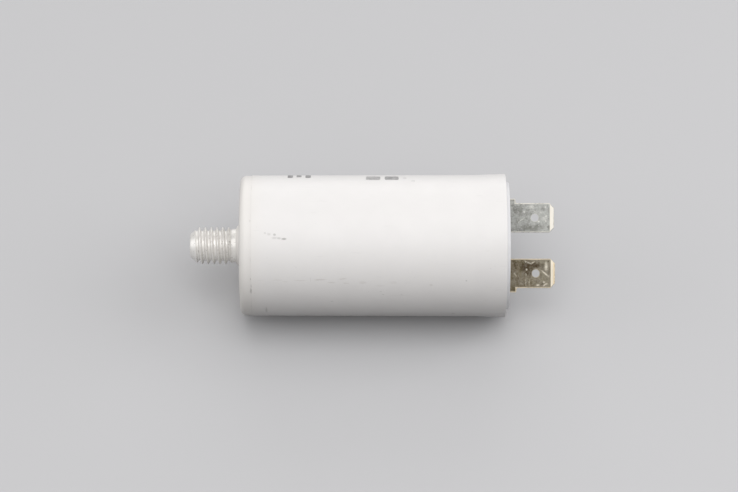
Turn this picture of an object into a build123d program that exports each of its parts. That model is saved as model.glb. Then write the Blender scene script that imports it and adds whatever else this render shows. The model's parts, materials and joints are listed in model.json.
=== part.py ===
from build123d import *
import os
from math import cos, pi, radians, sin

# A motor-run film capacitor in a round white plastic can, with a metal mounting stud moulded
# into its base and two push-on tabs in its lid. It lies on its side as it would be put down:
# the axis runs along X, the stud points to -X and the tabs to +X. The origin is on the surface
# that it lies on, under the middle of its length. All sizes are in millimetres.

os.makedirs("parts", exist_ok=True)

# The can, a moulded plastic cup
BODY_DIAMETER = 30.05  # of the body just above the base band
CAN_LENGTH = 56.5
WALL = 1.5
FLOOR = 2.4
BASE_BAND = 2.5  # length of the slightly smaller band at the base
BASE_STEP = 0.1  # how far the band lies inside the body
BASE_ROUND = 1.2
DRAFT_GAIN = 0.085  # growth of the body's radius up to the flare
FLARE_LENGTH = 5.0  # swell in the wall where the lid's skirt begins to spread it
FLARE_GAIN = 0.19
MOUTH_LIP = 1.85  # nearly straight end of the mouth, past the flare
LIP_GAIN = 0.045
MOUTH_ROUND = 0.12
CONE_RISE = 0.6  # small cone round the root of the stud
CONE_WIDTH = 1.0
BOSS_WALL = 1.8  # plastic round the head of the stud
RIB_COUNT = 6
RIB_THICKNESS = 1.2
RIB_HEIGHT = 2.4

# The mounting stud, M8, whose thread is left plain
THREAD_DIAMETER = 7.9
BLANK_DIAMETER = 7.15  # plain shank that the thread runs out to
STUD_REACH = 10.85
RUN_OUT = 1.5
RUN_OUT_SLOPE = 0.5
POINT_LENGTH = 1.75
POINT_DIAMETER = 4.6
HEAD_SIDES = 6
HEAD_ACROSS_FLATS = 12.0
HEAD_THICKNESS = 3.5
HEAD_CHAMFER = 0.5

# The lid, pressed into a seat in the mouth
LID_PROUD = 0.7
LID_PLATE = 2.0
SEAT_DEPTH = 6.0
SEAT_STEP = 0.25  # the seat is cut this far into the wall
LID_FIT = 0.03  # radial clearance between the skirt and its seat
LID_RIM_INSET = 0.12  # the part that shows is this much smaller than the skirt
LID_RIM_DEPTH = 0.4  # how far below the mouth that smaller part begins
LID_EDGE_ROUND = 0.12
SKIRT_WALL = 1.2
TAB_BOSS_DEPTH = 1.5  # thicker plastic round each tab, under the plate
TAB_BOSS_MARGIN = 1.2
BARRIER_THICKNESS = 1.2  # wall between the two tabs, under the plate
BARRIER_DEPTH = 3.5
GATE_DIAMETER = 4.0  # dimple that keeps the moulding gate below the face
GATE_DEPTH = 0.3
GATE_NUB_DIAMETER = 1.2
GATE_NUB_RISE = 0.2

# The two push-on tabs
TAB_WIDTH = 6.3
TAB_THICKNESS = 0.8
TAB_PITCH = 11.9  # between the middles of the blades
TAB_REACH = 9.82  # from the lid's face to the tip of the upper tab
LOWER_TAB_PROUD = 0.2  # the lower tab was set this much further out
TAB_CORNER = 1.0
NOSE_LENGTH = 1.0  # tip pressed thinner to lead the socket on
NOSE_THICKNESS = 0.36
LATCH_HOLE_DIAMETER = 1.65
LATCH_HOLE_SETBACK = 4.13  # from the tip
SHOULDER_RISE = 1.55  # above the lid's face
SHOULDER_WIDTH = 0.93
SHOULDER_ROUND = 0.4  # inside corner, up to the blade
LOCK_NOTCH_DEPTH = 0.6  # cut in both edges, filled by the lid
LOCK_NOTCH_LENGTH = 0.9
TAIL_WIDTH = 3.4
TAIL_LENGTH = 4.0
TAIL_CORNER = 0.7
EYELET_DIAMETER = 1.4
EYELET_SETBACK = 1.7

# The film roll and its connections
RESIN_GAP = 1.65  # between the roll and the bore
WRAP_THICKNESS = 0.25
CORE_DIAMETER = 6.0
CORE_WALL = 1.0
SPRAY_THICKNESS = 0.5
HEAD_COVER = 1.6  # resin between the stud's head and the roll
TAIL_COVER = 3.0  # between the roll and the tails of the tabs
WIRE_DIAMETER = 0.8
WIRE_BEND = 1.0
WIRE_LAP = 3.0  # how far a wire lies flat on an end of the roll
WIRE_ON_TAIL = 2.6
WIRE_FILM = 0.06  # solder or resin under a wire, where it lies on a face
CORE_CLEAR = 0.9  # between the core tube and the solder on the base end of the roll
LONG_WIRE_TURN = 1.6  # above the roll, where the long wire turns inwards
SLEEVE_WALL = 0.2
SOLDER_SPREAD = 1.7
SOLDER_HEIGHT = 1.15
TAIL_SOLDER_RADIUS = 1.25

# The pose: the tabs lie in one plane through the axis, leaning back from upright
TAB_LEAN = 50.0

SAME_PLACE = 0.001  # edges nearer than this to a station are taken to be at it

# Radii that follow
body_radius = BODY_DIAMETER / 2
base_radius = body_radius - BASE_STEP
flare_radius = body_radius + DRAFT_GAIN
lip_radius = flare_radius + FLARE_GAIN
mouth_radius = lip_radius + LIP_GAIN
bore_radius = body_radius - WALL
seat_radius = bore_radius + SEAT_STEP
skirt_radius = seat_radius - LID_FIT
lid_radius = skirt_radius - LID_RIM_INSET
wrap_radius = bore_radius - RESIN_GAP
roll_radius = wrap_radius - WRAP_THICKNESS
core_radius = CORE_DIAMETER / 2
wire_radius = WIRE_DIAMETER / 2
wire_lift = WIRE_FILM + wire_radius  # of a wire's middle above the face that it lies on
wire_front = TAB_THICKNESS / 2 + wire_lift  # and in front of the plane of the tabs
head_radius = HEAD_ACROSS_FLATS / 2
boss_radius = head_radius / cos(pi / HEAD_SIDES) + BOSS_WALL
rib_inner = boss_radius - BOSS_WALL / 2
rib_outer = bore_radius + WALL / 2

# Stations along the axis that follow, counted from the base's outer face
head_end = FLOOR + HEAD_THICKNESS
flare_end = CAN_LENGTH - MOUTH_LIP
flare_start = flare_end - FLARE_LENGTH
lid_face = CAN_LENGTH + LID_PROUD
plate_under = lid_face - LID_PLATE
tab_boss_under = plate_under - TAB_BOSS_DEPTH
lid_seat = CAN_LENGTH - SEAT_DEPTH
tail_end = tab_boss_under - TAIL_LENGTH
roll_base = head_end + HEAD_COVER
roll_lid = tail_end - TAIL_COVER
film_base = roll_base + SPRAY_THICKNESS
film_lid = roll_lid - SPRAY_THICKNESS
film_width = film_lid - film_base
long_turn = roll_lid + LONG_WIRE_TURN
overall_length = STUD_REACH + lid_face + TAB_REACH + LOWER_TAB_PROUD

# The long plane holds the axis and both tabs: x is the station, y points to the upper tab and
# z to the tabs' front faces. The cross plane is square to the axis at the base's outer face:
# x points to the upper tab and y to the tabs' front faces.
lean = radians(TAB_LEAN)
base_point = (STUD_REACH - overall_length / 2, 0, mouth_radius)
long_plane = Plane(origin=base_point, x_dir=(1, 0, 0), z_dir=(0, -cos(lean), sin(lean)))
cross_plane = Plane(origin=base_point, x_dir=(0, sin(lean), cos(lean)), z_dir=(1, 0, 0))
side_plane = Plane(origin=base_point, x_dir=(1, 0, 0), z_dir=(0, sin(lean), cos(lean)))
can_axis = Axis(base_point, (1, 0, 0))
wire_plane = long_plane.offset(wire_front)


def outer_edge(part, station):
    """The widest circular edge that a part has at a station along the axis."""
    circles = part.edges().filter_by(GeomType.CIRCLE)
    place = base_point[0] + station
    there = circles.filter_by_position(Axis.X, place - SAME_PLACE, place + SAME_PLACE)
    return there.sort_by(SortBy.RADIUS)[-1]


# Stud: turned and thread-rolled, with a hexagonal head that the base is moulded round
with BuildPart() as stud:
    with BuildSketch(long_plane):
        with BuildLine():
            Polyline(
                (-STUD_REACH, 0),
                (-STUD_REACH, POINT_DIAMETER / 2),
                (-STUD_REACH + POINT_LENGTH, THREAD_DIAMETER / 2),
                (-RUN_OUT - RUN_OUT_SLOPE, THREAD_DIAMETER / 2),
                (-RUN_OUT, BLANK_DIAMETER / 2),
                (FLOOR, BLANK_DIAMETER / 2),
                (FLOOR, 0),
                close=True,
            )
        make_face()
    revolve(axis=can_axis)
    with BuildSketch(cross_plane.offset(FLOOR)):
        RegularPolygon(radius=head_radius, side_count=HEAD_SIDES, major_radius=False)
    extrude(amount=HEAD_THICKNESS)
    chamfer(stud.faces().sort_by(Axis.X)[-1].edges(), length=HEAD_CHAMFER)
stud.part.label = "stud"

# Can: a drafted cup with a base band, a spread mouth and a seat for the lid. Inside, its floor
# has a boss round the stud's head and ribs that hold the roll clear of the floor.
with BuildPart() as can:
    with BuildSketch(long_plane):
        with BuildLine():
            Polyline(
                (0, 0),
                (0, base_radius),
                (BASE_BAND, base_radius),
                (BASE_BAND, body_radius),
                (flare_start, flare_radius),
            )
            Spline(
                (flare_start, flare_radius),
                (flare_end, lip_radius),
                tangents=[(flare_start - BASE_BAND, DRAFT_GAIN), (MOUTH_LIP, LIP_GAIN)],
            )
            Polyline(
                (flare_end, lip_radius),
                (CAN_LENGTH, mouth_radius),
                (CAN_LENGTH, seat_radius),
                (lid_seat, seat_radius),
                (lid_seat, bore_radius),
                (FLOOR, bore_radius),
                (FLOOR, 0),
                (0, 0),
            )
        make_face()
    revolve(axis=can_axis)
    fillet(outer_edge(can, 0), radius=BASE_ROUND)
    fillet(outer_edge(can, CAN_LENGTH), radius=MOUTH_ROUND)
    with BuildSketch(long_plane):
        with BuildLine():
            Polyline(
                (-CONE_RISE, 0),
                (-CONE_RISE, BLANK_DIAMETER / 2),
                (0, BLANK_DIAMETER / 2 + CONE_WIDTH),
                (0, 0),
                close=True,
            )
        make_face()
    revolve(axis=can_axis)
    with BuildSketch(cross_plane.offset(FLOOR)):
        Circle(boss_radius)
    extrude(amount=HEAD_THICKNESS)
    with BuildSketch(cross_plane.offset(FLOOR)):
        with PolarLocations((rib_outer + rib_inner) / 2, RIB_COUNT):
            Rectangle(rib_outer - rib_inner, RIB_THICKNESS)
    extrude(amount=RIB_HEIGHT)
    add(stud.part, mode=Mode.SUBTRACT)
can.part.label = "can"


def make_terminal(side, proud):
    """A tab stamped from strip, with a shoulder on its outer edge and a tail for the wire.

    side is 1 for the upper tab and -1 for the lower, and proud is how much further out it sits.
    """
    middle = side * TAB_PITCH / 2
    outer = middle + side * TAB_WIDTH / 2
    inner = middle - side * TAB_WIDTH / 2
    shoulder = outer + side * SHOULDER_WIDTH
    tip = lid_face + TAB_REACH + proud
    shoulder_top = lid_face + SHOULDER_RISE + proud
    root = tab_boss_under + proud
    end = tail_end + proud
    notch_place = (lid_face + plate_under) / 2
    with BuildPart() as terminal:
        with BuildSketch(long_plane) as outline:
            with Locations((root, middle)):
                Rectangle(tip - root, TAB_WIDTH, align=(Align.MIN, Align.CENTER))
            chamfer(outline.vertices().group_by(Axis.X)[-1], length=TAB_CORNER)
            with Locations((root, outer + side * SHOULDER_WIDTH / 2)):
                Rectangle(shoulder_top - root, SHOULDER_WIDTH, align=(Align.MIN, Align.CENTER))
            inside_corner = outline.vertices().sort_by_distance((shoulder_top, outer))[0]
            fillet(inside_corner, radius=SHOULDER_ROUND)
            with Locations((root, middle)):
                Rectangle(TAIL_LENGTH, TAIL_WIDTH, align=(Align.MAX, Align.CENTER))
            chamfer(outline.vertices().group_by(Axis.X)[0], length=TAIL_CORNER)
            with Locations((notch_place, shoulder), (notch_place, inner)):
                Rectangle(LOCK_NOTCH_LENGTH, 2 * LOCK_NOTCH_DEPTH, mode=Mode.SUBTRACT)
            with Locations((tip - LATCH_HOLE_SETBACK, middle)):
                Circle(LATCH_HOLE_DIAMETER / 2, mode=Mode.SUBTRACT)
            with Locations((end + EYELET_SETBACK, middle)):
                Circle(EYELET_DIAMETER / 2, mode=Mode.SUBTRACT)
        extrude(amount=TAB_THICKNESS / 2, both=True)
        with BuildSketch(side_plane):
            with BuildLine():
                Polyline(
                    (end, TAB_THICKNESS / 2),
                    (tip - NOSE_LENGTH, TAB_THICKNESS / 2),
                    (tip, NOSE_THICKNESS / 2),
                    (tip, -NOSE_THICKNESS / 2),
                    (tip - NOSE_LENGTH, -TAB_THICKNESS / 2),
                    (end, -TAB_THICKNESS / 2),
                    close=True,
                )
            make_face()
        extrude(amount=body_radius, both=True, mode=Mode.INTERSECT)
    return terminal


terminal_upper = make_terminal(1, 0)
terminal_upper.part.label = "terminal_upper"
terminal_lower = make_terminal(-1, LOWER_TAB_PROUD)
terminal_lower.part.label = "terminal_lower"

# Lid: a moulded cap whose skirt stands on the seat in the mouth, moulded round both tabs
with BuildPart() as lid:
    with BuildSketch(long_plane):
        with BuildLine():
            Polyline(
                (lid_face, 0),
                (lid_face, lid_radius),
                (CAN_LENGTH - LID_RIM_DEPTH, lid_radius),
                (CAN_LENGTH - LID_RIM_DEPTH, skirt_radius),
                (lid_seat, skirt_radius),
                (lid_seat, skirt_radius - SKIRT_WALL),
                (plate_under, skirt_radius - SKIRT_WALL),
                (plate_under, 0),
                close=True,
            )
        make_face()
    revolve(axis=can_axis)
    fillet(outer_edge(lid, lid_face), radius=LID_EDGE_ROUND)
    with BuildSketch(cross_plane.offset(plate_under)):
        with GridLocations(TAB_PITCH + SHOULDER_WIDTH, 0, 2, 1):
            Rectangle(
                TAB_WIDTH + SHOULDER_WIDTH + 2 * TAB_BOSS_MARGIN,
                TAB_THICKNESS + 2 * TAB_BOSS_MARGIN,
            )
    extrude(amount=-TAB_BOSS_DEPTH)
    with BuildSketch(cross_plane.offset(plate_under)):
        Rectangle(BARRIER_THICKNESS, 2 * skirt_radius - SKIRT_WALL)
    extrude(amount=-BARRIER_DEPTH)
    with BuildSketch(cross_plane.offset(lid_face)):
        Circle(GATE_DIAMETER / 2)
    extrude(amount=-GATE_DEPTH, mode=Mode.SUBTRACT)
    with BuildSketch(cross_plane.offset(lid_face - GATE_DEPTH)):
        Circle(GATE_NUB_DIAMETER / 2)
    extrude(amount=GATE_NUB_RISE)
    add(terminal_upper.part, mode=Mode.SUBTRACT)
    add(terminal_lower.part, mode=Mode.SUBTRACT)
lid.part.label = "lid"

# Core tube: the mandrel that the film is wound on
with BuildPart() as core_tube:
    with BuildSketch(cross_plane.offset(film_base)):
        Circle(core_radius)
        Circle(core_radius - CORE_WALL, mode=Mode.SUBTRACT)
    extrude(amount=film_width)
core_tube.part.label = "core_tube"

# Winding: some hundreds of turns of metallised film, as one roll
with BuildPart() as winding:
    with BuildSketch(cross_plane.offset(film_base)):
        Circle(roll_radius)
        Circle(core_radius, mode=Mode.SUBTRACT)
    extrude(amount=film_width)
winding.part.label = "winding"

# Outer wrap: plain film round the roll, as wide as the roll with its contacts
with BuildPart() as outer_wrap:
    with BuildSketch(cross_plane.offset(roll_base)):
        Circle(wrap_radius)
        Circle(roll_radius, mode=Mode.SUBTRACT)
    extrude(amount=roll_lid - roll_base)
outer_wrap.part.label = "outer_wrap"


def make_end_contact(station):
    """Zinc sprayed on one end of the roll, clear of the core's bore."""
    with BuildPart() as end_contact:
        with BuildSketch(cross_plane.offset(station)):
            Circle(roll_radius)
            Circle(core_radius, mode=Mode.SUBTRACT)
        extrude(amount=SPRAY_THICKNESS)
    return end_contact


end_contact_base = make_end_contact(roll_base)
end_contact_base.part.label = "end_contact_base"
end_contact_lid = make_end_contact(film_lid)
end_contact_lid.part.label = "end_contact_lid"


def make_wire(points):
    """A tinned copper wire bent through the points, in the plane in front of the tabs' tails."""
    with BuildPart() as wire:
        with BuildLine(wire_plane):
            route = FilletPolyline(*points, radius=WIRE_BEND)
        with BuildSketch(Plane(origin=route @ 0, z_dir=route % 0)):
            Circle(wire_radius)
        sweep()
    return wire


# Short lead: flat on the lid end of the roll, then up the front of the upper tab's tail
lead_short = make_wire(
    [
        (roll_lid + wire_lift, TAB_PITCH / 2 + WIRE_LAP),
        (roll_lid + wire_lift, TAB_PITCH / 2),
        (tail_end + WIRE_ON_TAIL, TAB_PITCH / 2),
    ]
)
lead_short.part.label = "lead_short"

# Long lead: from the base end of the roll, along its side and in to the lower tab's tail
long_wire_radius = bore_radius - RESIN_GAP / 2
long_lap_start = core_radius + CORE_CLEAR + SOLDER_SPREAD
lead_long = make_wire(
    [
        (roll_base - wire_lift, -long_lap_start),
        (roll_base - wire_lift, -long_wire_radius),
        (long_turn, -long_wire_radius),
        (long_turn, -TAB_PITCH / 2),
        (tail_end + LOWER_TAB_PROUD + WIRE_ON_TAIL, -TAB_PITCH / 2),
    ]
)
lead_long.part.label = "lead_long"

# Lead sleeve: insulating tube on the straight run beside the roll
with BuildPart() as lead_sleeve:
    with BuildSketch(cross_plane.offset(roll_base - wire_lift + WIRE_BEND)):
        with Locations((-long_wire_radius, wire_front)):
            Circle(wire_radius + SLEEVE_WALL)
            Circle(wire_radius, mode=Mode.SUBTRACT)
    extrude(amount=long_turn - roll_base + wire_lift - 2 * WIRE_BEND)
lead_sleeve.part.label = "lead_sleeve"

# Solder on the two ends of the roll: low domes over the flat lap of each wire
dome_radius = (SOLDER_SPREAD**2 + SOLDER_HEIGHT**2) / (2 * SOLDER_HEIGHT)
dome_sink = dome_radius - SOLDER_HEIGHT

with BuildPart() as solder_lid_end:
    dome_place = Pos(TAB_PITCH / 2 + WIRE_LAP, wire_front, roll_lid - dome_sink)
    with Locations(cross_plane * dome_place):
        Sphere(dome_radius)
    split(bisect_by=cross_plane.offset(roll_lid), keep=Keep.TOP)
    add(lead_short.part, mode=Mode.SUBTRACT)
solder_lid_end.part.label = "solder_lid_end"

with BuildPart() as solder_base_end:
    dome_place = Pos(-long_lap_start, wire_front, roll_base + dome_sink)
    with Locations(cross_plane * dome_place):
        Sphere(dome_radius)
    split(bisect_by=cross_plane.offset(roll_base), keep=Keep.BOTTOM)
    add(lead_long.part, mode=Mode.SUBTRACT)
solder_base_end.part.label = "solder_base_end"


def make_tail_solder(side, proud, terminal, wire):
    """A bead of solder that wets a wire, the front of a tail and its eyelet."""
    with BuildPart() as solder:
        bead_place = Pos(side * TAB_PITCH / 2, wire_front, tail_end + proud + EYELET_SETBACK)
        with Locations(cross_plane * bead_place):
            Sphere(TAIL_SOLDER_RADIUS)
        add(terminal.part, mode=Mode.SUBTRACT)
        add(wire.part, mode=Mode.SUBTRACT)
    return solder


solder_upper_tab = make_tail_solder(1, 0, terminal_upper, lead_short)
solder_upper_tab.part.label = "solder_upper_tab"
solder_lower_tab = make_tail_solder(-1, LOWER_TAB_PROUD, terminal_lower, lead_long)
solder_lower_tab.part.label = "solder_lower_tab"

inner_pieces = [
    core_tube,
    winding,
    outer_wrap,
    end_contact_base,
    end_contact_lid,
    lead_short,
    lead_long,
    lead_sleeve,
    solder_base_end,
    solder_lid_end,
    solder_upper_tab,
    solder_lower_tab,
]

# Potting: resin cast round everything in the can, up to the lid's seat
with BuildPart() as potting:
    with BuildSketch(cross_plane.offset(FLOOR)):
        Circle(bore_radius)
    extrude(amount=lid_seat - FLOOR)
    for piece in [can, stud, terminal_upper, terminal_lower] + inner_pieces:
        add(piece.part, mode=Mode.SUBTRACT)
potting.part.label = "potting"

for piece in [can, stud, lid, terminal_upper, terminal_lower, potting] + inner_pieces:
    export_step(piece.part, f"parts/{piece.part.label}.step")
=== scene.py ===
import json
import math

import bpy
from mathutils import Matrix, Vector


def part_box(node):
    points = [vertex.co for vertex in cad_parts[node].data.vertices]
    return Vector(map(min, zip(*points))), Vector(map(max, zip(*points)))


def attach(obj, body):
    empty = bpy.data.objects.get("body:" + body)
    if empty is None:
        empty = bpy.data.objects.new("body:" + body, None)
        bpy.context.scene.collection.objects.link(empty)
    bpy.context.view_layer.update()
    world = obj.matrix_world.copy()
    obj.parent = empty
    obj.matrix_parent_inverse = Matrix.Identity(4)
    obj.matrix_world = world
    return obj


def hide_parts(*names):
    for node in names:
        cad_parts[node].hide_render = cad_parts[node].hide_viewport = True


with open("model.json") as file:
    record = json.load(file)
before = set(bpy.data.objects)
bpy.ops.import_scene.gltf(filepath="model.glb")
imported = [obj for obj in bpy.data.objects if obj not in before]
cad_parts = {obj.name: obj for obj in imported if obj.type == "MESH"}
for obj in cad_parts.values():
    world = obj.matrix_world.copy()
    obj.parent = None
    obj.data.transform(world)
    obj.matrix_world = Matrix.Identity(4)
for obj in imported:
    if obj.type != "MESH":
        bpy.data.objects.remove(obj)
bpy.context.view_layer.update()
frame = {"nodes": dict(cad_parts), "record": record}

# Mounting stud: an aluminium screw with a hexagonal head that the base of the can is moulded
# round. Its M8 thread is rolled, which leaves the plain shank thinner than the thread, and the
# last turn fades into that shank.
THREAD_PITCH = 0.00125
THREAD_ROOT = 0.00317
CREST_LAND = 0.07  # half of the flat of the crest, as a share of the pitch
FLANK_WIDTH = 0.3
FLANK_STRAIGHT = 0.4  # how much of the flank is straight, the rest being rounded
SHANK_RADIUS = 0.003575
TIP_RADIUS = 0.0025
TIP_ROUND = 0.00025
POINT_RISE = 0.75  # how fast the point widens, as a slope
RUN_OUT = 0.00165  # plain shank between the base and the end of the thread
FADE_LENGTH = 0.0013
CREST_PHASE = 0.000291
HEAD_ACROSS_FLATS = 0.012
HEAD_THICKNESS = 0.0035
RING_CUTS = (9, 14)  # the shank is cut into rings twice over, for the thread to be shaped
HEAD_GRIP = 0.0004  # how far the shank is sunk in the head before the two are made one
HEAD_TURN = math.radians(50)  # the head's flats lean as the tabs do
ROUND_SIDES = 72

mounts = {mount["name"]: mount for mount in frame["record"]["mounts"]}
base_face = mounts["base_seat"]["pos_m"][0]
axis_height = mounts["stud"]["pos_m"][2]
thread_radius = mounts["stud"]["dims"]["r_mm"] / 1000
stud_low, stud_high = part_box("stud")


def select_only(piece):
    """Leaves one piece selected and active, for the operators that follow."""
    bpy.ops.object.select_all(action="DESELECT")
    piece.select_set(True)
    bpy.context.view_layer.objects.active = piece


def put_away(piece, name, node):
    """Names a finished piece, moves its place into its mesh and lets it stand for its node."""
    select_only(piece)
    bpy.ops.object.transform_apply(location=True, rotation=True, scale=True)
    piece.name = name
    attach(piece, "root")
    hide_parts(node)


def eased(value):
    """A value from 0 to 1, held there and eased at both ends."""
    value = min(max(value, 0), 1)
    return value * value * (3 - 2 * value)


def thread_profile(phase):
    """Radius of the thread at a phase of its pitch from 0 to 1, with the crest at 0."""
    away = (min(phase, 1 - phase) - CREST_LAND) / FLANK_WIDTH
    drop = FLANK_STRAIGHT * min(max(away, 0), 1) + (1 - FLANK_STRAIGHT) * eased(away)
    return thread_radius + (THREAD_ROOT - thread_radius) * drop


def cut_rings(piece, cuts, is_cut):
    """Cuts the edges whose two ends pass a test, so that a round piece gets rings to shape."""
    for part in list(piece.data.vertices) + list(piece.data.polygons):
        part.select = False
    for edge in piece.data.edges:
        start, end = (piece.data.vertices[i].co for i in edge.vertices)
        edge.select = is_cut(start, end)
    bpy.ops.object.mode_set(mode="EDIT")
    bpy.ops.mesh.select_mode(type="EDGE")
    bpy.ops.mesh.subdivide(number_cuts=cuts)
    bpy.ops.object.mode_set(mode="OBJECT")


def on_shank(start, end):
    """Whether an edge runs lengthwise and starts outside the base."""
    lengthwise = abs(start.x - end.x) > 0.9 * (start - end).length
    return lengthwise and min(start.x, end.x) < base_face


shank_end = stud_high.x - HEAD_THICKNESS + HEAD_GRIP
shank_length = shank_end - stud_low.x
bpy.ops.object.select_all(action="DESELECT")
bpy.ops.mesh.primitive_cylinder_add(
    vertices=6,
    radius=HEAD_ACROSS_FLATS / 2 / math.cos(math.pi / 6),
    depth=HEAD_THICKNESS,
    location=(stud_high.x - HEAD_THICKNESS / 2, 0, axis_height),
    rotation=(0, math.pi / 2, 0),
)
head = bpy.context.object
bpy.ops.object.transform_apply(location=True, rotation=True, scale=True)
bpy.ops.object.mode_set(mode="EDIT")
bpy.ops.mesh.select_all(action="SELECT")
bpy.ops.transform.rotate(value=HEAD_TURN, orient_axis="X", center_override=(0, 0, axis_height))
bpy.ops.object.mode_set(mode="OBJECT")

bpy.ops.object.select_all(action="DESELECT")
bpy.ops.mesh.primitive_cylinder_add(
    vertices=ROUND_SIDES,
    radius=SHANK_RADIUS,
    depth=shank_length,
    location=((stud_low.x + shank_end) / 2, 0, axis_height),
    rotation=(0, math.pi / 2, 0),
)
stud = bpy.context.object
bpy.ops.object.transform_apply(location=True, rotation=True, scale=True)
union = stud.modifiers.new("head", "BOOLEAN")
union.operation = "UNION"
union.solver = "EXACT"
union.object = head
bpy.ops.object.modifier_apply(modifier=union.name)
bpy.data.objects.remove(head)

for cuts in RING_CUTS:
    cut_rings(stud, cuts, on_shank)
for vertex in stud.data.vertices:
    across = Vector((vertex.co.y, vertex.co.z - axis_height))
    if across.length > SHANK_RADIUS + HEAD_GRIP:
        continue
    turn = math.atan2(across.y, across.x) / (2 * math.pi)
    phase = ((vertex.co.x - CREST_PHASE) / THREAD_PITCH - turn) % 1
    fade = eased((base_face - RUN_OUT - vertex.co.x) / FADE_LENGTH)
    radius = SHANK_RADIUS + fade * (thread_profile(phase) - SHANK_RADIUS)
    from_tip = vertex.co.x - stud_low.x
    point = TIP_RADIUS + POINT_RISE * from_tip
    if from_tip < TIP_ROUND:
        point -= TIP_ROUND - math.sqrt(TIP_ROUND**2 - (TIP_ROUND - from_tip) ** 2)
    across *= min(radius, point) / across.length
    vertex.co.y = across.x
    vertex.co.z = axis_height + across.y
bpy.ops.object.shade_smooth_by_angle(angle=math.radians(50))
put_away(stud, "threaded_stud", "stud")


def paint(colour):
    """The linear colour that Blender uses, from red, green and blue from 0 to 255."""
    linear = [(c / 255 / 12.92) if c < 11 else ((c / 255 + 0.055) / 1.055) ** 2.4 for c in colour]
    return (*linear, 1)


def new_finish(name, colour, roughness, metallic=0.0):
    """A material with one colour and gloss, for its nodes to work on."""
    finish = bpy.data.materials.new(name)
    finish.use_nodes = True
    shader = finish.node_tree.nodes["Principled BSDF"]
    shader.inputs["Base Color"].default_value = paint(colour)
    shader.inputs["Roughness"].default_value = roughness
    shader.inputs["Metallic"].default_value = metallic
    return finish


def node(finish, kind, inputs=(), **settings):
    """Adds a node to a finish, with its settings and the values or sockets for its inputs."""
    added = finish.node_tree.nodes.new(kind)
    for name, value in settings.items():
        setattr(added, name, value)
    for name, value in dict(inputs).items():
        if isinstance(value, bpy.types.NodeSocket):
            finish.node_tree.links.new(value, added.inputs[name])
        else:
            added.inputs[name].default_value = value
    return added


def object_place(finish, centre=(0, 0, 0), lean=0.0, unit=(0.001, 0.001, 0.001)):
    """A point of the surface in units from a centre, turned back by a lean about X."""
    where = node(finish, "ShaderNodeTexCoord").outputs["Object"]
    values = {"Vector": where, "Location": centre, "Rotation": (lean, 0, 0), "Scale": unit}
    return node(finish, "ShaderNodeMapping", values, vector_type="TEXTURE").outputs["Vector"]


def noise(finish, where, scale, detail=3.0, roughness=0.5):
    """A cloudy pattern from 0 to 1, with about so many clouds to a unit of the place."""
    values = {"Vector": where, "Scale": scale, "Detail": detail, "Roughness": roughness}
    return node(finish, "ShaderNodeTexNoise", values).outputs["Fac"]


def ramp(finish, value, low, high, out_low=0.0, out_high=1.0):
    """A value carried smoothly from one range to another and held inside it."""
    values = {"Value": value, "From Min": low, "From Max": high}
    values.update({"To Min": out_low, "To Max": out_high})
    carried = node(finish, "ShaderNodeMapRange", values, interpolation_type="SMOOTHSTEP")
    return carried.outputs["Result"]


def tint(finish, amount, under, over):
    """Lays one colour over another by an amount. Inputs 6 and 7 are the Mix node's two colours."""
    mixed = node(finish, "ShaderNodeMix", {0: amount, 6: under, 7: over}, data_type="RGBA")
    return mixed.outputs[2]


def calculate(finish, operation, first, second=0.0):
    """One sum of two values."""
    return node(finish, "ShaderNodeMath", {0: first, 1: second}, operation=operation).outputs[0]


def give(finish, **sockets):
    """Links values to the shader's sockets, named with _ for a space."""
    shader = finish.node_tree.nodes["Principled BSDF"]
    for name, value in sockets.items():
        finish.node_tree.links.new(value, shader.inputs[name.replace("_", " ")])


def give_bump(finish, height, strength, depth):
    """Gives the finish a relief, with its depth in millimetres."""
    values = {"Height": height, "Strength": strength, "Distance": depth / 1000}
    give(finish, Normal=node(finish, "ShaderNodeBump", values).outputs["Normal"])


stud_finish = new_finish("stud_metal", (240, 238, 234), 0.38, 0.5)
where = object_place(stud_finish)
cloud = noise(stud_finish, where, 0.7)
nicks = ramp(stud_finish, noise(stud_finish, where, 2.6, detail=1), 0.62, 0.74)
bright = tint(stud_finish, cloud, paint((250, 248, 245)), paint((240, 238, 234)))
along = node(stud_finish, "ShaderNodeSeparateXYZ", {0: where}).outputs["X"]
shank_from = (base_face - RUN_OUT) * 1000
plain = ramp(stud_finish, along, shank_from - 0.5, shank_from + 0.1)
bright = tint(stud_finish, plain, bright, paint((255, 253, 249)))
give(stud_finish, Base_Color=tint(stud_finish, nicks, bright, paint((204, 202, 198))))
give(stud_finish, Roughness=ramp(stud_finish, cloud, 0.3, 0.7, 0.33, 0.45))
give(stud_finish, Metallic=ramp(stud_finish, plain, 0.0, 1.0, 0.5, 0.4))
turned = object_place(stud_finish, unit=(0.001, 0.008, 0.008))
streaks = noise(stud_finish, turned, 9, detail=2)
give_bump(stud_finish, calculate(stud_finish, "ADD", streaks, nicks), 0.25, 0.02)
stud.data.materials.clear()
stud.data.materials.append(stud_finish)

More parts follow.
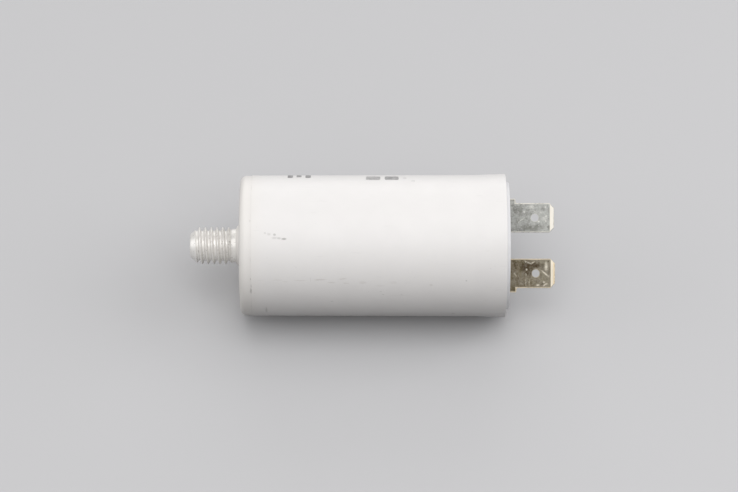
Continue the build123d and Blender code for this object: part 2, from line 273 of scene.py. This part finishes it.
# Can: a cup of white plastic, moulded round the head of the stud, with a low collar at the stud's
# root, scuffs, faint scratches, dirt in the step of its base band, and plain bars of ink. Places on
# it are in millimetres along the axis and round the can, from the line that faces the camera.
COLLAR_HEIGHT = 0.00103
COLLAR_RADIUS = 0.00472  # just fits the 9.5 mm hole that the stud goes through
COLLAR_RINGS = 8
COLLAR_SINK = 0.0003  # how far the collar's foot goes into the base
CAMERA_LEAN = math.radians(40)  # turns the can's own up into the camera's
CAN_RADIUS = 15.08  # in millimetres
BAND_STEP = 0.0025  # from the base to the step of the base band
BAND_DIRT = (0.16, 0.03)  # from the step to where its dirt ends, and to where it is full
DIRT = (84, 76, 66)
RUST_DIRT = (120, 92, 62)
BASE_YELLOW_FROM = -22.0  # the plastic yellows a little from here to the base
OVAL_CORE = 0.35  # share of an oval mark's reach that has its full strength
INK = (58, 58, 62)
INK_CORNER = 0.5
INK_EDGE = 0.15
# Station, arc, half length, half width, tilt in degrees and strength of each mark
SCUFFS = [
    (-22.6, 2.65, 0.34, 0.30, 0, 0.18),
    (-21.8, 2.4, 0.55, 0.32, -8, 0.18),
    (-20.6, 2.3, 0.42, 0.36, 0, 0.32),
    (-20.6, 1.6, 0.80, 0.30, 0, 0.20),
    (-19.7, 1.55, 0.65, 0.28, -5, 0.26),
    (-18.65, 1.4, 0.75, 0.30, 0, 0.48),
    (-13.1, -7.5, 0.12, 0.65, 0, 0.10),
    (19.7, -7.7, 0.26, 0.24, 0, 0.24),
    (-8.6, -13.6, 0.40, 0.22, 0, 0.16),
    (1.7, -10.5, 0.30, 0.22, 0, 0.12),
    (2.2, -11.4, 0.36, 0.18, 0, 0.16),
    (6.1, -11.4, 0.32, 0.18, 0, 0.14),
    (17.2, -19.3, 0.55, 0.30, 0, 0.30),
    (-22.55, -17.3, 0.30, 1.90, 0, 0.22),
    (-25.65, -10.4, 0.24, 1.10, 0, 0.34),
    (-25.6, -9.1, 0.14, 0.60, 0, 0.26),
    (-25.7, -7.4, 0.14, 0.35, 0, 0.30),
    (-25.8, 5.3, 0.12, 0.50, 0, 0.16),
]
SCRATCHES = [
    (-23.6, -7.7, 1.0, 0.12, 0, 0.05),
    (-20.0, -7.6, 1.5, 0.14, 0, 0.08),
    (-18.4, -8.0, 0.8, 0.15, -3, 0.08),
    (-15.2, -7.7, 1.7, 0.16, 0, 0.11),
    (-11.1, -7.5, 1.8, 0.22, 2, 0.17),
    (-8.7, -8.2, 1.1, 0.22, 0, 0.14),
    (-6.3, -7.3, 1.1, 0.24, 5, 0.14),
    (-5.6, -8.4, 0.9, 0.26, 0, 0.10),
    (-2.1, -8.2, 1.0, 0.45, 0, 0.10),
    (1.6, -9.0, 1.2, 0.30, 0, 0.06),
    (4.4, -8.2, 0.9, 0.45, 0, 0.06),
    (5.6, -11.7, 3.4, 0.11, 0, 0.06),
    (12.3, -8.8, 0.5, 0.40, 0, 0.12),
    (24.0, -1.1, 0.8, 0.14, 0, 0.05),
]
# Start and end along the axis, foot and height round the can, and strength of each bar of ink
INK_BARS = [
    (-18.2, -16.9, 19.2, 3.8, 0.8),
    (-16.3, -15.1, 19.7, 3.3, 0.8),
    (-14.4, -13.1, 19.2, 3.8, 0.8),
    (-1.5, 1.7, 17.8, 2.8, 0.6),
    (2.5, 5.6, 17.8, 2.8, 0.7),
    (6.3, 7.3, 18.4, 1.2, 0.2),
    (8.1, 9.1, 16.9, 0.7, 0.25),
    (-18.2, -9.4, 24.4, 1.3, 0.8),
    (-8.5, -4.7, 24.4, 1.3, 0.8),
    (-1.5, 9.6, 24.4, 1.3, 0.8),
    (-18.2, -11.9, 27.2, 1.3, 0.8),
    (-11.0, -4.7, 27.2, 1.3, 0.8),
    (-1.5, 3.4, 27.2, 1.3, 0.8),
    (4.3, 9.6, 27.2, 1.3, 0.8),
    (-18.2, -14.3, 30.0, 1.3, 0.8),
    (-13.4, -6.9, 30.0, 1.3, 0.8),
    (-1.5, 7.7, 30.0, 1.3, 0.8),
]


def oval(finish, where, centre, half_size, tilt=0.0, strength=1.0):
    """An oval mark on a flat or unrolled surface, strongest in its middle."""
    values = {"Vector": where, "Location": (*centre, 0), "Rotation": (0, 0, math.radians(tilt))}
    values["Scale"] = (*half_size, 1)
    inside = node(finish, "ShaderNodeMapping", values, vector_type="TEXTURE").outputs["Vector"]
    away = node(finish, "ShaderNodeVectorMath", {0: inside}, operation="LENGTH").outputs["Value"]
    return ramp(finish, away, 1.0, OVAL_CORE, 0.0, strength)


def ovals(finish, where, rows):
    """One oval for each row of a list of marks."""
    return [oval(finish, where, row[:2], row[2:4], row[4], row[5]) for row in rows]


def bar(finish, where, low, high, strength):
    """An even mark with straight sides and round corners on an unrolled surface."""
    centre = [(a + b) / 2 for a, b in zip(low, high)]
    corner = min(INK_CORNER, (high[1] - low[1]) / 2)
    inner = [(b - a) / 2 - corner for a, b in zip(low, high)]
    out = where
    for operation, value in (
        ("SUBTRACT", (*centre, 0)),
        ("ABSOLUTE", (0, 0, 0)),
        ("SUBTRACT", (*inner, 0)),
        ("MAXIMUM", (0, 0, 0)),
    ):
        step = node(finish, "ShaderNodeVectorMath", {0: out, 1: value}, operation=operation)
        out = step.outputs["Vector"]
    away = node(finish, "ShaderNodeVectorMath", {0: out}, operation="LENGTH").outputs["Value"]
    return ramp(finish, away, corner, corner - INK_EDGE, 0.0, strength)


def strongest(finish, marks):
    """The strongest of some marks at each point."""
    total = marks[0]
    for one in marks[1:]:
        total = calculate(finish, "MAXIMUM", total, one)
    return total


def roughened(finish, where, scale, reach):
    """A place shifted a little to and fro, so that what is drawn on it has ragged edges."""
    values = {"Vector": where, "Scale": scale, "Detail": 2.0}
    shift = node(finish, "ShaderNodeTexNoise", values).outputs["Color"]
    middle = (0.5, 0.5, 0.5)
    centred = node(finish, "ShaderNodeVectorMath", {0: shift, 1: middle}, operation="SUBTRACT")
    values = {0: centred.outputs["Vector"], "Scale": reach}
    short = node(finish, "ShaderNodeVectorMath", values, operation="SCALE").outputs["Vector"]
    moved = node(finish, "ShaderNodeVectorMath", {0: where, 1: short}, operation="ADD")
    return moved.outputs["Vector"]


bpy.ops.object.select_all(action="DESELECT")
bpy.ops.mesh.primitive_cylinder_add(
    vertices=ROUND_SIDES,
    radius=COLLAR_RADIUS,
    depth=COLLAR_HEIGHT + COLLAR_SINK,
    location=(base_face - (COLLAR_HEIGHT - COLLAR_SINK) / 2, 0, axis_height),
    rotation=(0, math.pi / 2, 0),
)
collar = bpy.context.object
bpy.ops.object.transform_apply(location=True, rotation=True, scale=True)
cut_rings(collar, COLLAR_RINGS, lambda start, end: abs(start.x - end.x) > COLLAR_HEIGHT)
for vertex in collar.data.vertices:
    across = Vector((vertex.co.y, vertex.co.z - axis_height))
    below_top = min((vertex.co.x - base_face) / COLLAR_HEIGHT + 1, 1)
    swell = math.sqrt(max(below_top, 0))
    across *= (SHANK_RADIUS + (COLLAR_RADIUS - SHANK_RADIUS) * swell) / across.length
    vertex.co.y = across.x
    vertex.co.z = axis_height + across.y
bpy.ops.object.shade_smooth_by_angle(angle=math.radians(60))
collar.name = "root_collar"
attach(collar, "root")

can_finish = new_finish("can_plastic", (239, 238, 235), 0.42)
where = object_place(can_finish, (0, 0, axis_height), CAMERA_LEAN)
sides = node(can_finish, "ShaderNodeSeparateXYZ", {0: where})
around = calculate(can_finish, "ARCTAN2", sides.outputs["Y"], sides.outputs["Z"])
arc = calculate(can_finish, "MULTIPLY", around, CAN_RADIUS)
unrolled = node(can_finish, "ShaderNodeCombineXYZ", {"X": sides.outputs["X"], "Y": arc}).outputs[0]
ragged = roughened(can_finish, unrolled, 3.0, 0.25)
scuffs = ovals(can_finish, ragged, SCUFFS)
scratches = ovals(can_finish, ragged, SCRATCHES)
specks = noise(can_finish, where, 2.2, detail=1)
specks = ramp(can_finish, specks, 0.76, 0.80, 0.0, 0.10)
rubbed = object_place(can_finish, (0, 0, axis_height), CAMERA_LEAN, (0.012, 0.001, 0.001))
rubs = ramp(can_finish, noise(can_finish, rubbed, 2.4, detail=2), 0.68, 0.76, 0.0, 0.05)
band = calculate(can_finish, "SUBTRACT", sides.outputs["X"], (base_face + BAND_STEP) * 1000)
band = ramp(can_finish, calculate(can_finish, "ABSOLUTE", band), *BAND_DIRT)
patchy = ramp(can_finish, noise(can_finish, where, 0.5), 0.45, 0.7, 0.02, 0.09)
band = calculate(can_finish, "MULTIPLY", band, patchy)
cloud = noise(can_finish, where, 0.22, detail=2)
white = tint(can_finish, cloud, paint((243, 241, 240)), paint((238, 236, 235)))
near_base = ramp(can_finish, sides.outputs["X"], BASE_YELLOW_FROM, base_face * 1000, 0.0, 0.35)
white = tint(can_finish, near_base, white, paint((238, 233, 224)))
bars = [bar(can_finish, ragged, (a, c), (b, c + height), ink) for a, b, c, height, ink in INK_BARS]
worn = ramp(can_finish, noise(can_finish, unrolled, 1.2, detail=1), 0.35, 0.6, 0.7, 0.95)
printed = calculate(can_finish, "MULTIPLY", strongest(can_finish, bars), worn)
white = tint(can_finish, printed, white, paint(INK))
dirt = strongest(can_finish, scuffs + [specks, rubs, band])
white = tint(can_finish, strongest(can_finish, scratches), white, paint(RUST_DIRT))
give(can_finish, Base_Color=tint(can_finish, dirt, white, paint(DIRT)))
give(can_finish, Roughness=ramp(can_finish, cloud, 0.3, 0.7, 0.38, 0.47))
grain = noise(can_finish, where, 5.0, detail=2)
waves = calculate(can_finish, "MULTIPLY", cloud, 2.0)
give_bump(can_finish, calculate(can_finish, "ADD", grain, waves), 0.12, 0.01)
frame["nodes"]["can"].data.materials[0] = can_finish
collar.data.materials.clear()
collar.data.materials.append(can_finish)

# Lid: a cap of a slightly cooler white plastic, moulded round both tabs and pressed into the
# mouth of the can. Its face has the fine grain of the mould.
lid_finish = new_finish("lid_plastic", (236, 236, 238), 0.42)
where = object_place(lid_finish, (0, 0, axis_height))
cloud = noise(lid_finish, where, 0.5, detail=2)
white = tint(lid_finish, cloud, paint((238, 238, 240)), paint((232, 232, 235)))
specks = ramp(lid_finish, noise(lid_finish, where, 2.4, detail=1), 0.74, 0.79, 0.0, 0.12)
give(lid_finish, Base_Color=tint(lid_finish, specks, white, paint(DIRT)))
give(lid_finish, Roughness=ramp(lid_finish, cloud, 0.3, 0.7, 0.36, 0.5))
give_bump(lid_finish, noise(lid_finish, where, 6.0, detail=2), 0.12, 0.01)
frame["nodes"]["lid"].data.materials[0] = lid_finish

# Tabs: stamped from brass strip, plated and then coined thin at the tip. The upper one has gone
# dull grey, the lower one brown. Their stamped edges, the rings round their latch holes and their
# coined tips are pale: partly rubbed bright by sockets and partly painted highlight.
# Places on them are in millimetres from the middle of the tip, along the tab and across it.
EDGE_BEVEL = 0.00014  # in metres, as EYELET_SETBACK is
NOSE_EDGE = 0.92  # from the tip to the edge of the bright nose
HOLE_SETBACK = 4.13
HOLE_RADIUS = 0.83
HOLE_RING = 0.25  # width of the pale ring round the latch hole, partly rubbed and partly painted highlight
HOLE_LAND = 1.3  # edges nearer than this to a hole aren't broken
EYELET_SETBACK = 0.0017  # of the tail's eyelet, from its inner end
BLADE_HALF = 3.15
SHOULDER = (-8.27, 0.93)  # where the shoulder ends, and how far it stands out of the blade
WORN_AND_HIGHLIT_WIDTH = 0.3  # of the pale line along the edges, partly rubbed plating and partly painted highlight
WORN_AND_HIGHLIT_FADE = 0.14  # over which that line fades


def stamped_tab(node_name, name, finishes):
    """Rebuilds a tab from its solid, with its edges broken and given the second finish."""
    bpy.ops.object.select_all(action="DESELECT")
    tab = bpy.data.objects.new(name, frame["nodes"][node_name].data.copy())
    bpy.context.scene.collection.objects.link(tab)
    select_only(tab)
    tab.data.materials.clear()
    for finish in finishes:
        tab.data.materials.append(finish)
    bpy.ops.object.mode_set(mode="EDIT")
    bpy.ops.mesh.select_all(action="SELECT")
    bpy.ops.mesh.remove_doubles(threshold=0.000002)
    bpy.ops.mesh.dissolve_limited(angle_limit=math.radians(2))
    bpy.ops.mesh.select_all(action="DESELECT")
    bpy.ops.mesh.select_mode(type="EDGE")
    bpy.ops.mesh.edges_select_sharp(sharpness=math.radians(35))
    bpy.ops.object.mode_set(mode="OBJECT")
    tip = Vector(mounts[name]["pos_m"])
    latch_hole = tip - Vector((HOLE_SETBACK / 1000, 0, 0))
    eyelet = Vector((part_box(node_name)[0].x + EYELET_SETBACK, tip.y, tip.z))
    for edge in tab.data.edges:
        centre = sum((tab.data.vertices[i].co for i in edge.vertices), Vector()) / 2
        for hole in (latch_hole, eyelet):
            if (centre - hole).length < HOLE_LAND / 1000:
                edge.select = False
    bpy.ops.object.mode_set(mode="EDIT")
    bpy.ops.mesh.bevel(offset=EDGE_BEVEL, segments=2, material=1, clamp_overlap=False)
    bpy.ops.object.mode_set(mode="OBJECT")
    bpy.ops.object.shade_smooth_by_angle(angle=math.radians(20))
    put_away(tab, name, node_name)


def worn_and_highlit_line(finish, along, across, side):
    """The pale line just inside a tab's outline, partly rubbed plating and partly painted
    highlight, with its shoulder on one side.
    """
    end, step = SHOULDER
    across = calculate(finish, "MULTIPLY", across, side)
    inner = BLADE_HALF - WORN_AND_HIGHLIT_WIDTH
    on_shoulder = ramp(finish, along, end + 0.05, end - 0.05, 0.0, step)
    from_step = calculate(finish, "SUBTRACT", across, on_shoulder)
    near = ramp(finish, from_step, inner, inner + WORN_AND_HIGHLIT_FADE)
    far = ramp(finish, across, -inner, -inner - WORN_AND_HIGHLIT_FADE)
    end_line = ramp(finish, along, end - WORN_AND_HIGHLIT_WIDTH, end - WORN_AND_HIGHLIT_WIDTH + WORN_AND_HIGHLIT_FADE)
    past_side = ramp(finish, across, inner, inner + WORN_AND_HIGHLIT_FADE)
    end_line = calculate(finish, "MULTIPLY", end_line, past_side)
    return strongest(finish, [near, calculate(finish, "MULTIPLY", far, 0.85), end_line])


def tab_finishes(slot, mount, side, metallic, colours, dark_marks, light_marks):
    """The finish of a tab's faces, with its own stains and scratches, and that of its edges."""
    face = new_finish(slot, colours["low"], 0.5, metallic)
    where = object_place(face, mounts[mount]["pos_m"], CAMERA_LEAN)
    sides = node(face, "ShaderNodeSeparateXYZ", {0: where})
    along = sides.outputs["X"]
    cloud = noise(face, where, 0.55, detail=2)
    blotches = noise(face, where, 1.35, detail=4, roughness=0.6)
    grain = noise(face, where, 3.4, detail=2)
    lined = object_place(face, mounts[mount]["pos_m"], CAMERA_LEAN, (0.001, 0.005, 0.001))
    streaks = noise(face, lined, 1.7, detail=3, roughness=0.6)
    low, high = paint(colours["low"]), paint(colours["high"])
    metal = tint(face, ramp(face, blotches, 0.4, 0.6), low, high)
    metal = tint(face, ramp(face, cloud, 0.4, 0.7, 0.0, 0.4), metal, paint(colours["streak"]))
    metal = tint(face, ramp(face, along, -7.5, -1.5, 0.0, 0.55), metal, paint(colours["outer"]))
    metal = tint(face, ramp(face, streaks, 0.5, 0.7, 0.0, 0.4), metal, paint(colours["streak"]))
    metal = tint(face, ramp(face, grain, 0.54, 0.76, 0.0, 0.65), metal, paint(colours["speck"]))
    metal = tint(face, ramp(face, grain, 0.46, 0.26, 0.0, 0.45), metal, paint(colours["dark"]))
    ragged = roughened(face, where, 1.6, 0.9)
    dark = strongest(face, ovals(face, ragged, dark_marks))
    dark = calculate(face, "MULTIPLY", dark, ramp(face, blotches, 0.35, 0.7, 1.0, 0.55))
    metal = tint(face, dark, metal, paint(colours["dark"]))
    slight = roughened(face, where, 3.0, 0.35)
    light = strongest(face, ovals(face, slight, light_marks))
    light = calculate(face, "MULTIPLY", light, ramp(face, grain, 0.3, 0.6, 0.6, 1.0))
    metal = tint(face, light, metal, paint(colours["light"]))
    # A pale ring round the latch hole: partly rubbed by the socket, partly a painted highlight of
    # the hole's edge.
    values = {0: where, 1: (-HOLE_SETBACK, 0, 0)}
    away = node(face, "ShaderNodeVectorMath", values, operation="DISTANCE").outputs["Value"]
    ring = ramp(face, away, HOLE_RADIUS + HOLE_RING, HOLE_RADIUS + HOLE_RING / 2)
    ring = calculate(face, "MULTIPLY", ring, ramp(face, blotches, 0.4, 0.6, 0.35, 0.9))
    metal = tint(face, ring, metal, paint(colours["ring"]))
    # A pale line along the outline: partly rubbed plating, partly a painted highlight of the edges.
    line = worn_and_highlit_line(face, along, sides.outputs["Y"], side)
    line = calculate(face, "MULTIPLY", line, ramp(face, cloud, 0.35, 0.6, 0.6, 0.95))
    metal = tint(face, line, metal, paint(colours["edge"]))
    # The coined nose is tinted pale cream: partly bare brass, partly a painted highlight of the
    # light that the sloped coining catches.
    nose = ramp(face, along, -NOSE_EDGE - 0.06, -NOSE_EDGE + 0.06)
    tip, tip_end = paint(colours["tip"]), paint(colours["tip_end"])
    brass_and_highlight = tint(face, ramp(face, along, -0.6, -0.1), tip, tip_end)
    give(face, Base_Color=tint(face, nose, metal, brass_and_highlight))
    polish = calculate(face, "SUBTRACT", blotches, calculate(face, "MULTIPLY", nose, 0.3))
    give(face, Roughness=ramp(face, polish, 0.2, 0.8, 0.35, 0.62))
    give_bump(face, calculate(face, "ADD", blotches, light), 0.3, 0.02)
    # The broken edges' finish is pale: partly bare sheared brass, partly a painted highlight where
    # the edges catch the light.
    edge = new_finish(slot + "_edge", colours["edge"], 0.4, 0.3)
    worn = ramp(edge, noise(edge, object_place(edge), 1.6), 0.4, 0.7)
    dull = [0.8 * c for c in colours["edge"]]
    give(edge, Base_Color=tint(edge, worn, paint(colours["edge"]), paint(dull)))
    return [face, edge]


upper_colours = {
    "low": (136, 136, 131),
    "high": (168, 169, 165),
    "outer": (188, 189, 185),
    "streak": (164, 165, 163),
    "dark": (104, 104, 97),
    "speck": (202, 202, 197),
    "light": (234, 233, 227),
    # ring, tip, tip_end and edge: pale colours, partly wear and bare brass, partly painted
    # highlight.
    "ring": (206, 205, 196),
    "tip": (234, 229, 218),
    "tip_end": (231, 227, 218),
    "edge": (226, 223, 214),
}
upper_dark = [
    (-3.3, -1.7, 1.1, 0.7, 0, 0.85),
    (-8.0, 1.6, 1.4, 1.0, 0, 0.6),
    (-6.0, -1.8, 0.9, 1.1, 20, 0.7),
    (-7.6, -0.6, 0.9, 0.7, 0, 0.5),
    (-2.4, 1.9, 0.6, 0.8, 0, 0.5),
    (-1.2, -2.1, 0.4, 0.8, 0, 0.7),
    (-1.2, 1.6, 0.3, 1.2, 0, 0.45),
    (-5.2, 0.8, 0.6, 0.6, 0, 0.5),
    (-2.6, 0.2, 0.6, 0.4, 0, 0.3),
    (-5.0, -2.2, 3.8, 1.0, 0, 0.7),
]
upper_light = [
    (-7.0, -0.5, 1.5, 0.19, 40, 0.7),
    (-3.3, -0.85, 0.3, 0.26, 0, 0.95),
    (-1.75, 0.3, 0.32, 0.3, 0, 0.9),
    (-1.8, -0.7, 0.32, 0.26, 0, 0.75),
    (-3.3, -1.6, 0.2, 0.2, 0, 0.6),
    (-1.85, 2.3, 0.26, 0.36, 0, 0.6),
    (-4.9, 2.3, 1.1, 0.7, 0, 0.5),
    (-6.4, 1.3, 0.4, 0.35, 0, 0.5),
    (-4.2, 1.4, 1.0, 0.2, -20, 0.4),
    (-2.2, -0.2, 1.1, 0.7, 0, 0.3),
    (-2.8, 1.2, 0.7, 0.5, 30, 0.3),
    (-9.0, 3.3, 0.8, 0.7, 0, 0.3),
]
upper = tab_finishes("tab_plating", "upper_tab", 1, 0.6, upper_colours, upper_dark, upper_light)
stamped_tab("terminal_upper", "upper_tab", upper)
lower_colours = {
    "low": (88, 77, 48),
    "high": (128, 119, 99),
    "outer": (152, 146, 131),
    "streak": (134, 127, 117),
    "dark": (56, 39, 6),
    "speck": (158, 150, 132),
    "light": (226, 219, 203),
    # ring, tip, tip_end and edge: pale colours, partly wear and bare brass, partly painted
    # highlight.
    "ring": (196, 188, 170),
    "tip": (248, 238, 218),
    "tip_end": (246, 224, 184),
    "edge": (230, 216, 192),
}
lower_dark = [
    (-6.0, 1.4, 2.3, 1.7, 0, 1.0),
    (-4.4, 1.8, 2.6, 1.0, 0, 1.0),
    (-5.6, 0.3, 1.7, 1.2, 0, 0.9),
    (-8.7, 1.6, 1.1, 1.4, 0, 0.5),
    (-2.7, 1.5, 0.8, 1.2, 0, 0.7),
    (-3.0, -0.7, 0.5, 0.9, 0, 0.5),
    (-1.3, 0.0, 0.25, 2.5, 0, 0.6),
    (-1.5, 2.5, 0.4, 0.4, 0, 1.0),
    (-2.9, -2.3, 0.5, 0.3, 30, 0.7),
]
lower_light = [
    (-2.15, 0.0, 1.6, 0.24, -42, 0.9),
    (-1.85, -0.25, 0.42, 0.28, -42, 1.0),
    (-2.35, -1.85, 0.42, 0.36, 0, 0.85),
    (-3.7, -2.5, 0.6, 0.3, 0, 0.8),
    (-2.1, -2.4, 0.8, 0.22, 28, 0.9),
    (-8.5, -0.3, 0.8, 0.22, -55, 0.5),
    (-6.1, 0.85, 0.34, 0.32, 0, 0.8),
    (-6.2, -0.2, 0.22, 0.5, 0, 0.5),
    (-6.3, 2.5, 0.3, 0.3, 0, 0.7),
    (-5.5, 2.2, 0.9, 0.2, -25, 0.6),
    (-4.7, 2.3, 0.8, 0.2, 30, 0.7),
    (-1.9, 1.55, 0.50, 1.5, 0, 0.85),
    (-1.3, -0.5, 0.16, 0.7, 0, 0.5),
    (-6.3, -1.9, 0.2, 1.2, 0, 0.4),
    (-5.5, -1.9, 0.2, 1.2, 0, 0.4),
    (-7.3, -2.2, 0.6, 0.5, 0, 0.2),
]
lower = tab_finishes("tab_tarnished", "lower_tab", -1, 0.45, lower_colours, lower_dark, lower_light)
stamped_tab("terminal_lower", "lower_tab", lower)

# Roll: some hundreds of turns of metallised film on a plastic tube, closed by turns of plain film.
# Nothing of it shows from outside. The turns are fine rings on the ends of the roll.
RING_SCALE = 0.7  # of the Wave node's rings, which gives about two to a millimetre


def lined_finish(slot, colour, other, roughness, metallic=0.0):
    """A finish for film and tubes, in two close colours that change from ring to ring."""
    finish = new_finish(slot, colour, roughness, metallic)
    values = {"Vector": object_place(finish, (0, 0, axis_height)), "Scale": RING_SCALE}
    wave = node(finish, "ShaderNodeTexWave", values, wave_type="RINGS", rings_direction="X")
    rings = wave.outputs["Fac"]
    give(finish, Base_Color=tint(finish, rings, paint(colour), paint(other)))
    give_bump(finish, rings, 0.2, 0.01)
    return finish


core_finish = lined_finish("core_plastic", (224, 221, 212), (214, 211, 201), 0.5)
frame["nodes"]["core_tube"].data.materials[0] = core_finish
film_finish = lined_finish("metallised_film", (205, 206, 210), (176, 178, 184), 0.3, 0.8)
frame["nodes"]["winding"].data.materials[0] = film_finish
wrap_finish = lined_finish("clear_film", (226, 226, 218), (214, 213, 203), 0.15)
frame["nodes"]["outer_wrap"].data.materials[0] = wrap_finish

# End contacts: zinc sprayed on both ends of the roll, which joins the edges of all its turns. It
# is grey and rough as sand.
zinc_finish = new_finish("sprayed_zinc", (186, 187, 189), 0.75, 0.6)
where = object_place(zinc_finish)
values = {"Vector": where, "Scale": 5.0}
grains = node(zinc_finish, "ShaderNodeTexVoronoi", values).outputs["Distance"]
sand = tint(zinc_finish, grains, paint((200, 201, 203)), paint((150, 151, 154)))
give(zinc_finish, Base_Color=sand)
give_bump(zinc_finish, grains, 0.6, 0.06)
for name in ("end_contact_base", "end_contact_lid"):
    frame["nodes"][name].data.materials[0] = zinc_finish

# Leads and solder: tinned copper wires, soldered to the roll's ends and the tails of the tabs. The
# long wire passes the roll in a tube of blue plastic.
wires = ("lead_short", "lead_long")
joints = ("solder_base_end", "solder_lid_end", "solder_upper_tab", "solder_lower_tab")
for slot, colour, other, roughness, names in (
    ("tinned_wire", (220, 218, 212), (196, 193, 186), 0.3, wires),
    ("solder", (212, 212, 212), (176, 177, 178), 0.25, joints),
):
    metal_finish = new_finish(slot, colour, roughness, 1.0)
    cloud = noise(metal_finish, object_place(metal_finish), 1.8)
    give(metal_finish, Base_Color=tint(metal_finish, cloud, paint(colour), paint(other)))
    give(metal_finish, Roughness=ramp(metal_finish, cloud, 0.3, 0.7, roughness, roughness + 0.2))
    give_bump(metal_finish, cloud, 0.2, 0.03)
    for name in names:
        frame["nodes"][name].data.materials[0] = metal_finish
sleeve_finish = new_finish("sleeve_plastic", (74, 106, 168), 0.5)
cloud = noise(sleeve_finish, object_place(sleeve_finish), 0.8)
blue = tint(sleeve_finish, cloud, paint((78, 112, 176)), paint((66, 96, 152)))
give(sleeve_finish, Base_Color=blue)
give_bump(sleeve_finish, cloud, 0.1, 0.03)
frame["nodes"]["lead_sleeve"].data.materials[0] = sleeve_finish

# Potting: cream resin, cast into the can round the roll and set hard. It holds the roll in its
# place, and a few small bubbles stay in it.
resin_finish = new_finish("resin", (218, 208, 178), 0.35)
where = object_place(resin_finish)
cloud = noise(resin_finish, where, 0.3)
bubbles = ramp(resin_finish, noise(resin_finish, where, 1.6, detail=0), 0.7, 0.78)
cream = tint(resin_finish, cloud, paint((222, 213, 186)), paint((208, 196, 162)))
give(resin_finish, Base_Color=tint(resin_finish, bubbles, cream, paint((190, 176, 138))))
give_bump(resin_finish, bubbles, -0.4, 0.1)
frame["nodes"]["potting"].data.materials[0] = resin_finish

# Studio: a plain pale floor, large soft lamps all round and a camera above the front of the part,
# far enough off to show it almost without perspective.
CAMERA_DISTANCE = 0.730
CAMERA_ELEVATION = math.radians(50)
AIM_OFFSET = -0.00078  # of the camera's aim from the middle of the part, along it
AIM_DROP = 0.00009  # and below the axis, as the camera sees it
LENS = 166.3
FLOOR_COLOUR = (200, 200, 202)
FLOOR_BOUNCE = (36, 36, 38)  # what the floor sends back to the part
FLOOR_SIZE = 6
SKY_STRENGTH = 0.5

floor_finish = new_finish("floor_paint", FLOOR_COLOUR, 0.9)
path = node(floor_finish, "ShaderNodeLightPath")
rays = [path.outputs["Is Camera Ray"], path.outputs["Is Glossy Ray"]]
seen = strongest(floor_finish, rays)
give(floor_finish, Base_Color=tint(floor_finish, seen, paint(FLOOR_BOUNCE), paint(FLOOR_COLOUR)))
bpy.ops.object.select_all(action="DESELECT")
bpy.ops.mesh.primitive_plane_add(size=FLOOR_SIZE)
floor = bpy.context.object
floor.name = "floor"
floor.data.materials.append(floor_finish)

world = bpy.data.worlds.new("studio")
bpy.context.scene.world = world
world.use_nodes = True
sky = world.node_tree.nodes["Background"]
sky.inputs["Color"].default_value = (1.0, 0.99, 0.98, 1)
sky.inputs["Strength"].default_value = SKY_STRENGTH


def soft_lamp(name, azimuth, elevation, distance, size, power):
    """A square soft lamp that faces the part. Azimuth 0 is the camera's side, 90 the tabs' end."""
    target = Vector((0, 0, axis_height))
    a, e = math.radians(azimuth), math.radians(elevation)
    away = Vector((math.sin(a) * math.cos(e), -math.cos(a) * math.cos(e), math.sin(e)))
    lamp = bpy.data.lights.new(name, "AREA")
    lamp.size = size
    lamp.energy = power
    holder = bpy.data.objects.new(name, lamp)
    bpy.context.scene.collection.objects.link(holder)
    holder.location = target + away * distance
    holder.rotation_euler = away.to_track_quat("Z", "Y").to_euler()


soft_lamp("key_lamp", 0, 73, 0.9, 0.8, 2.85)
soft_lamp("front_lamp", 0, 30, 0.9, 0.7, 0.25)
soft_lamp("back_lamp", 180, 20, 0.9, 0.7, 1.5)
soft_lamp("right_lamp", 90, 35, 0.9, 0.7, 2.5)
soft_lamp("left_lamp", -90, 15, 0.9, 0.7, 1.5)
soft_lamp("tip_lamp", 36, 44, 1.0, 0.2, 0.3)

camera_data = bpy.data.cameras.new("camera")
camera = bpy.data.objects.new("camera", camera_data)
bpy.context.scene.collection.objects.link(camera)
camera_data.lens = LENS
camera_data.clip_start = 0.01
camera_data.clip_end = 20
back = Vector((0, -math.cos(CAMERA_ELEVATION), math.sin(CAMERA_ELEVATION)))
picture_up = Vector((0, math.sin(CAMERA_ELEVATION), math.cos(CAMERA_ELEVATION)))
aim = Vector((AIM_OFFSET, 0, axis_height)) - picture_up * AIM_DROP
camera.location = aim + back * CAMERA_DISTANCE
camera.rotation_euler = back.to_track_quat("Z", "Y").to_euler()
bpy.context.scene.camera = camera
bpy.context.scene.view_settings.view_transform = "Standard"
